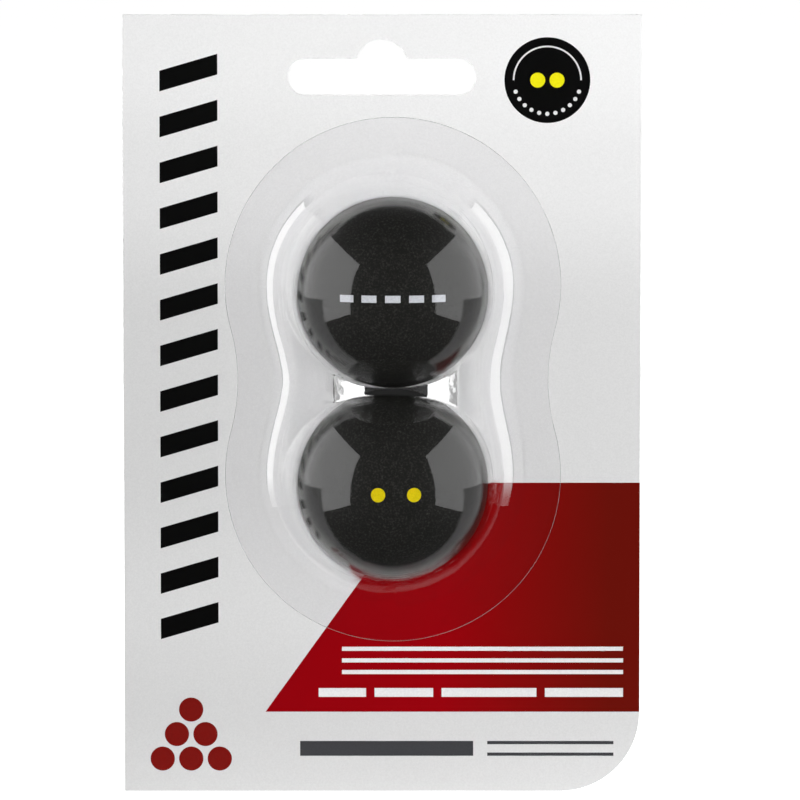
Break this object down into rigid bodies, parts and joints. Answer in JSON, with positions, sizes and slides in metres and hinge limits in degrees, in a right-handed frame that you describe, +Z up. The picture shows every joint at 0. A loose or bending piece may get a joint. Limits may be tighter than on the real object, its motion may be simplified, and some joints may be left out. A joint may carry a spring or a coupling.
{
  "type": "carded squash balls",
  "caption": "Hanging card with a clear formed blister that holds hollow rubber squash balls, each free to turn in its pocket.",
  "frame": {"origin": "centre of the hang slot's round hump, in the plane of the card's back face", "axes": "+X to the right as seen from the front, +Y out of the card's back, +Z up"},
  "size_m": [0.11, 0.042, 0.166],
  "materials": {
    "board": "uncoated board, matte",
    "silver_film": "satin silver film with a fine grain",
    "red_ink": "satin red print",
    "black_ink": "satin black print",
    "white_ink": "satin white print",
    "yellow_ink": "satin yellow print",
    "dark_red_ink": "satin dark red print",
    "grey_ink": "satin dark grey print",
    "seal_coat": "clear heat seal coat",
    "clear_sheet": "clear glossy formed sheet",
    "ball_rubber": "matte black moulded rubber",
    "bond": "black cured adhesive",
    "white_ball_ink": "matte white ink on rubber",
    "yellow_ball_ink": "matte yellow ink on rubber"
  },
  "bodies": {
    "pack": {"card_board": "board", "silver_film": "silver_film", "red_panel": "red_ink", "badge_disc": "black_ink", "badge_ring": "white_ink", "badge_dots": "yellow_ink", "side_bars": "black_ink", "corner_spots": "dark_red_ink", "caption_lines": "white_ink", "footer_lines": "grey_ink", "seal_coat": "seal_coat", "clear_blister": "clear_sheet"},
    "upper_ball": {"upper_front_half": "ball_rubber", "upper_rear_half": "ball_rubber", "upper_bond": "bond", "upper_dashes": "white_ball_ink", "upper_dots": "yellow_ball_ink"},
    "lower_ball": {"lower_front_half": "ball_rubber", "lower_rear_half": "ball_rubber", "lower_bond": "bond", "lower_dots": "yellow_ball_ink"}
  },
  "joints": [
    {"name": "upper_ball_spin", "type": "hinge", "parent": "pack", "child": "upper_ball", "pos_m": [0.00235, -0.02115, -0.0467], "axis": [0, 0, 1], "continuous": true},
    {"name": "lower_ball_spin", "type": "hinge", "parent": "pack", "child": "lower_ball", "pos_m": [0.00235, -0.02115, -0.0871], "axis": [0, 0, 1], "continuous": true}
  ]
}
